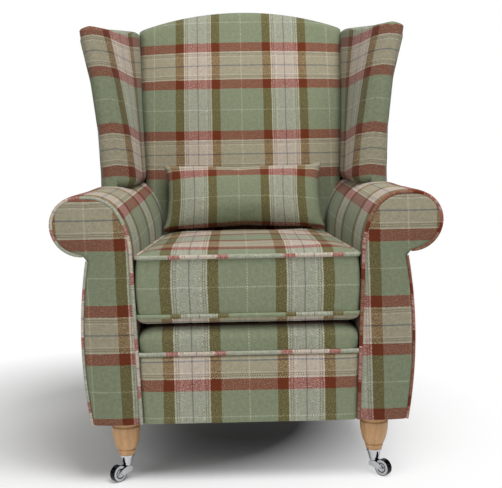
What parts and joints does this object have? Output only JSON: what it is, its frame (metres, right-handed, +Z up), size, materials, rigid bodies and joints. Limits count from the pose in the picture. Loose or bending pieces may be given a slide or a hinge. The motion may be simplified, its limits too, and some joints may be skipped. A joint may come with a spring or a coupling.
{
  "type": "fireside chair",
  "caption": "High-backed wing armchair with scroll arms in tartan wool, loose seat cushion, small lumbar cushion, turned front legs on castors and raked square rear legs.",
  "frame": {"origin": "On the floor under the middle of the chair's overall box.", "axes": "+Z is up, -Y is the way the sitter faces, and +X is the right-hand side seen from the front."},
  "size_m": [0.8694, 0.8333, 1.143],
  "materials": {
    "frame_timber": "sawn",
    "leg_beech": "satin lacquer",
    "tartan_cloth": "woven wool check",
    "piping_cloth": "woven wool check",
    "elastic_webbing": "matt",
    "platform_cloth": "matt",
    "dust_cloth": "matt",
    "foam": "open cell foam",
    "zip_tape": "matt",
    "clip_steel": "bright",
    "castor_chrome": "polished",
    "glide_nylon": "matt"
  },
  "bodies": {
    "chair_frame": {"arm_front_panel_left": "tartan_cloth", "arm_front_panel_right": "tartan_cloth", "arm_front_piping_left": "piping_cloth", "arm_front_piping_right": "piping_cloth", "arm_pad_left": "tartan_cloth", "arm_pad_right": "tartan_cloth", "arm_rail_left": "frame_timber", "arm_rail_right": "frame_timber", "arm_stump_left": "frame_timber", "arm_stump_right": "frame_timber", "back_post_left": "frame_timber", "back_post_right": "frame_timber", "back_rail": "frame_timber", "back_webbing": "elastic_webbing", "castor_cups": "castor_chrome", "corner_blocks": "frame_timber", "dust_cover": "dust_cloth", "front_border": "tartan_cloth", "front_border_piping": "piping_cloth", "front_legs": "leg_beech", "front_lip": "tartan_cloth", "front_rail": "frame_timber", "inside_back": "tartan_cloth", "leg_bolts": "clip_steel", "outside_arm_left": "tartan_cloth", "outside_arm_right": "tartan_cloth", "outside_back": "tartan_cloth", "outside_wing_left": "tartan_cloth", "outside_wing_right": "tartan_cloth", "rear_glides": "glide_nylon", "rear_leg_left": "leg_beech", "rear_leg_right": "leg_beech", "seat_deck": "platform_cloth", "seat_webbing": "elastic_webbing", "side_rail_left": "frame_timber", "side_rail_right": "frame_timber", "stay_rail": "frame_timber", "top_rail": "frame_timber", "webbing_clips": "clip_steel", "wing_board_left": "frame_timber", "wing_board_right": "frame_timber", "wing_pad_left": "tartan_cloth", "wing_pad_right": "tartan_cloth", "wing_piping_left": "piping_cloth", "wing_piping_right": "piping_cloth"},
    "castor_swivel_right": {"castor_fork_right": "castor_chrome", "castor_axle_right": "clip_steel"},
    "castor_swivel_left": {"castor_fork_left": "castor_chrome", "castor_axle_left": "clip_steel"},
    "castor_roller_right": {"castor_wheel_right": "castor_chrome"},
    "castor_roller_left": {"castor_wheel_left": "castor_chrome"},
    "seat_cushion": {"seat_cushion_cover": "tartan_cloth", "seat_cushion_core": "foam", "seat_cushion_piping": "piping_cloth", "seat_zip": "zip_tape"},
    "zip_slider": {"seat_zip_slider": "clip_steel"},
    "lumbar_cushion": {"lumbar_cushion_cover": "tartan_cloth", "lumbar_cushion_fill": "foam"}
  },
  "joints": [
    {"name": "castor_swivel_right", "type": "hinge", "parent": "chair_frame", "child": "castor_swivel_right", "pos_m": [0.284, -0.3727, 0.03], "axis": [0, 0, 1], "continuous": true},
    {"name": "castor_swivel_left", "type": "hinge", "parent": "chair_frame", "child": "castor_swivel_left", "pos_m": [-0.284, -0.3727, 0.03], "axis": [0, 0, 1], "continuous": true},
    {"name": "castor_roll_right", "type": "hinge", "parent": "castor_swivel_right", "child": "castor_roller_right", "pos_m": [0.30206, -0.3914, 0.019], "axis": [0.7193, 0.6947, 0], "continuous": true},
    {"name": "castor_roll_left", "type": "hinge", "parent": "castor_swivel_left", "child": "castor_roller_left", "pos_m": [-0.30206, -0.3914, 0.019], "axis": [-0.7193, 0.6947, 0], "continuous": true},
    {"name": "seat_cushion_lift", "type": "slide", "parent": "chair_frame", "child": "seat_cushion", "axis": [0, 0, 1], "range_m": [0, 0.25]},
    {"name": "zip_slide", "type": "slide", "parent": "seat_cushion", "child": "zip_slider", "axis": [1, 0, 0], "range_m": [0, 0.35]},
    {"name": "lumbar_cushion_lift", "type": "slide", "parent": "seat_cushion", "child": "lumbar_cushion", "axis": [0, -0.5, 0.866], "range_m": [0, 0.2]}
  ]
}
